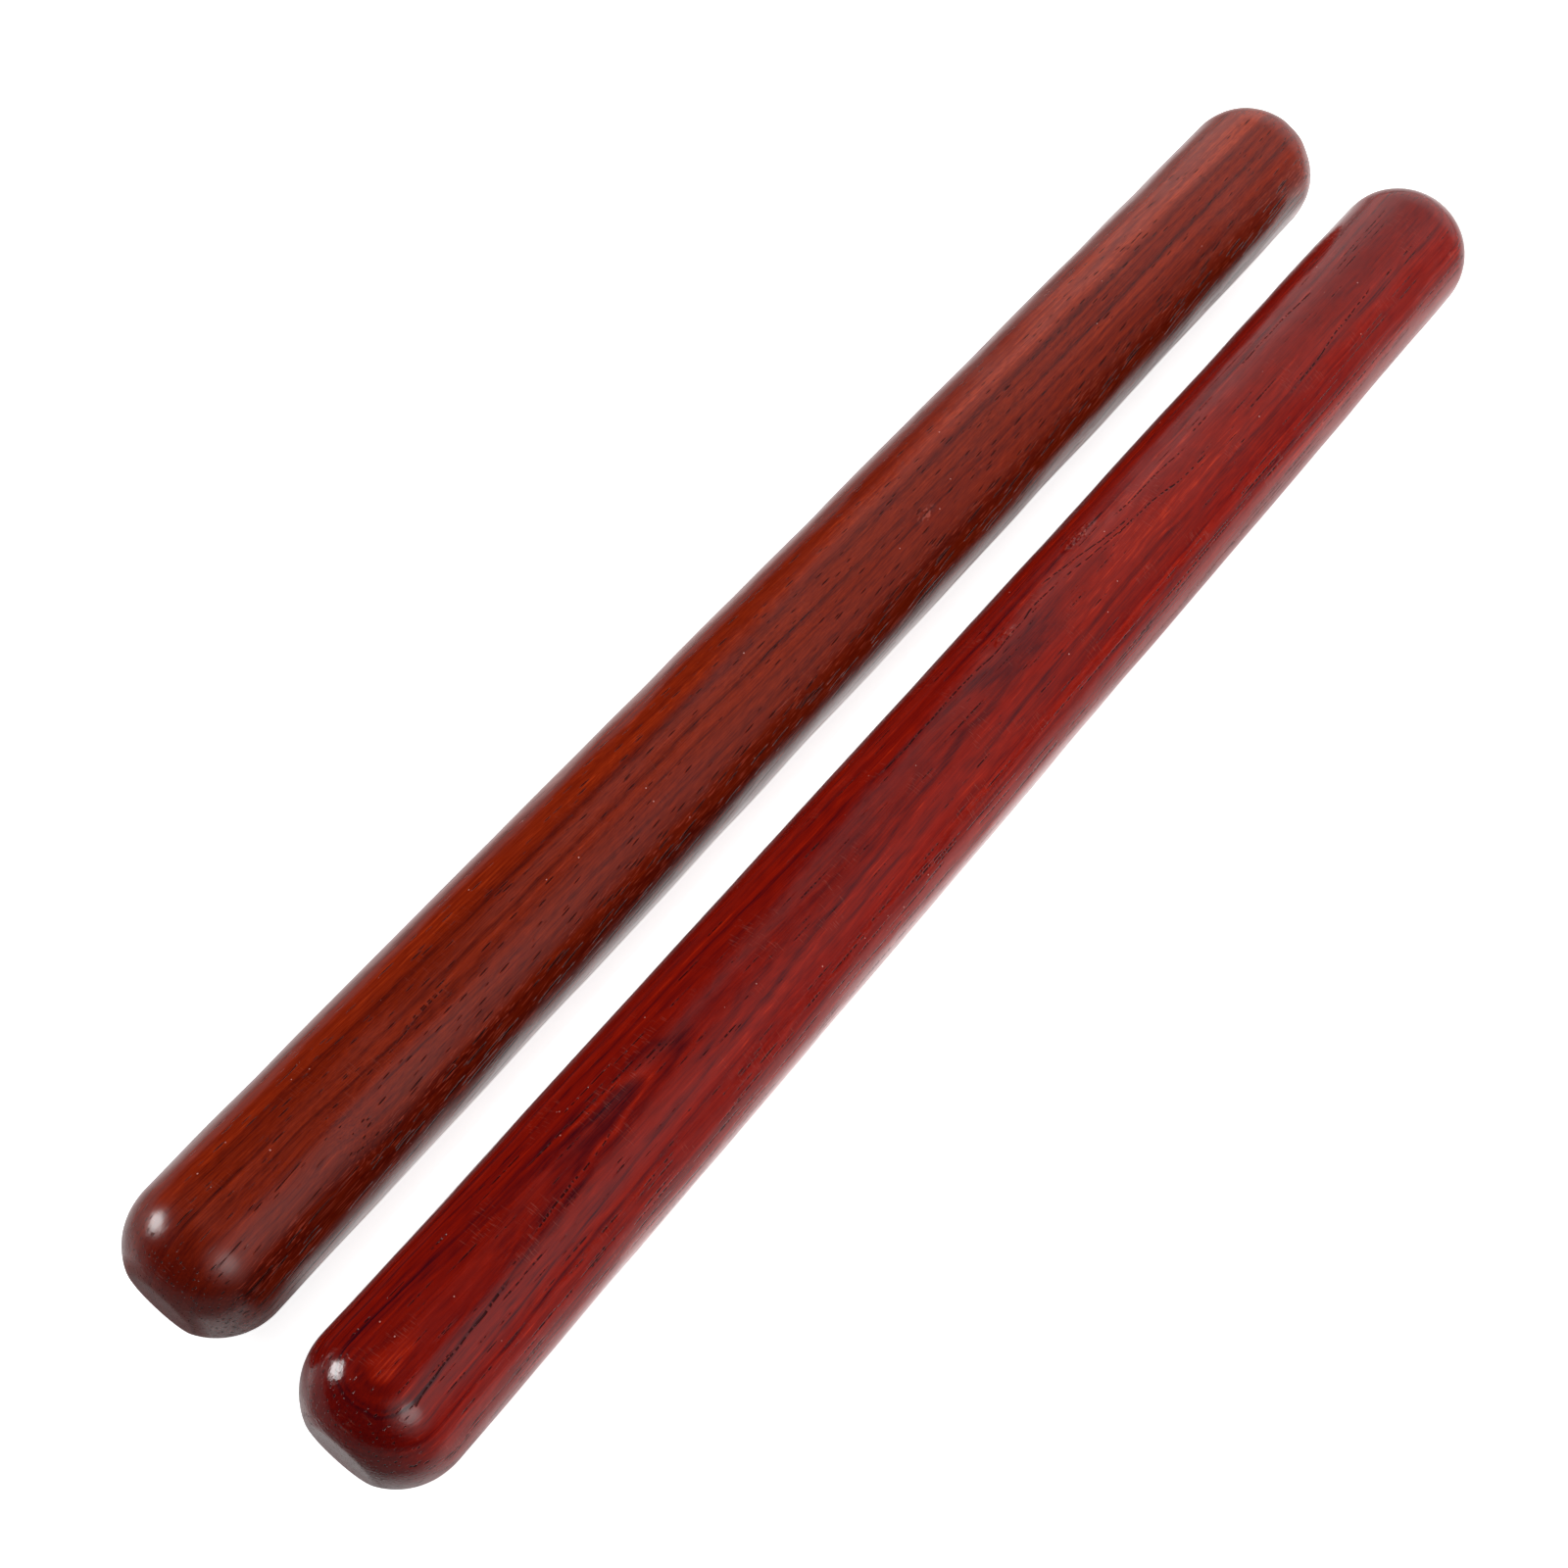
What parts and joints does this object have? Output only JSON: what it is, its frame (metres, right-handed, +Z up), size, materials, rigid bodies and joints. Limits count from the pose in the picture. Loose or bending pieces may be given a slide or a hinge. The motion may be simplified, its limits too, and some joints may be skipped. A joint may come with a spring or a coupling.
{
  "type": "claves",
  "caption": "Loose round hardwood sticks with rounded ends, lying side by side, to be struck against each other for rhythm.",
  "frame": {"origin": "on the surface the sticks lie on, midway between their axes and midway along them", "axes": "+X along both sticks, +Y from the striking clave towards the holding clave, +Z up"},
  "size_m": [0.2, 0.0396, 0.017],
  "materials": {
    "holding_wood": "brown-red tropical hardwood with straight dark streaks, clear gloss lacquer",
    "striking_wood": "crimson tropical hardwood with arched figure, clear gloss lacquer"
  },
  "bodies": {
    "holding": {"holding_clave": "holding_wood"},
    "striking": {"striking_clave": "striking_wood"}
  },
  "joints": [
    {"name": "strike_slide", "type": "slide", "parent": "holding", "child": "striking", "axis": [0, 1, 0], "range_m": [-0.1, 0.0052]}
  ]
}
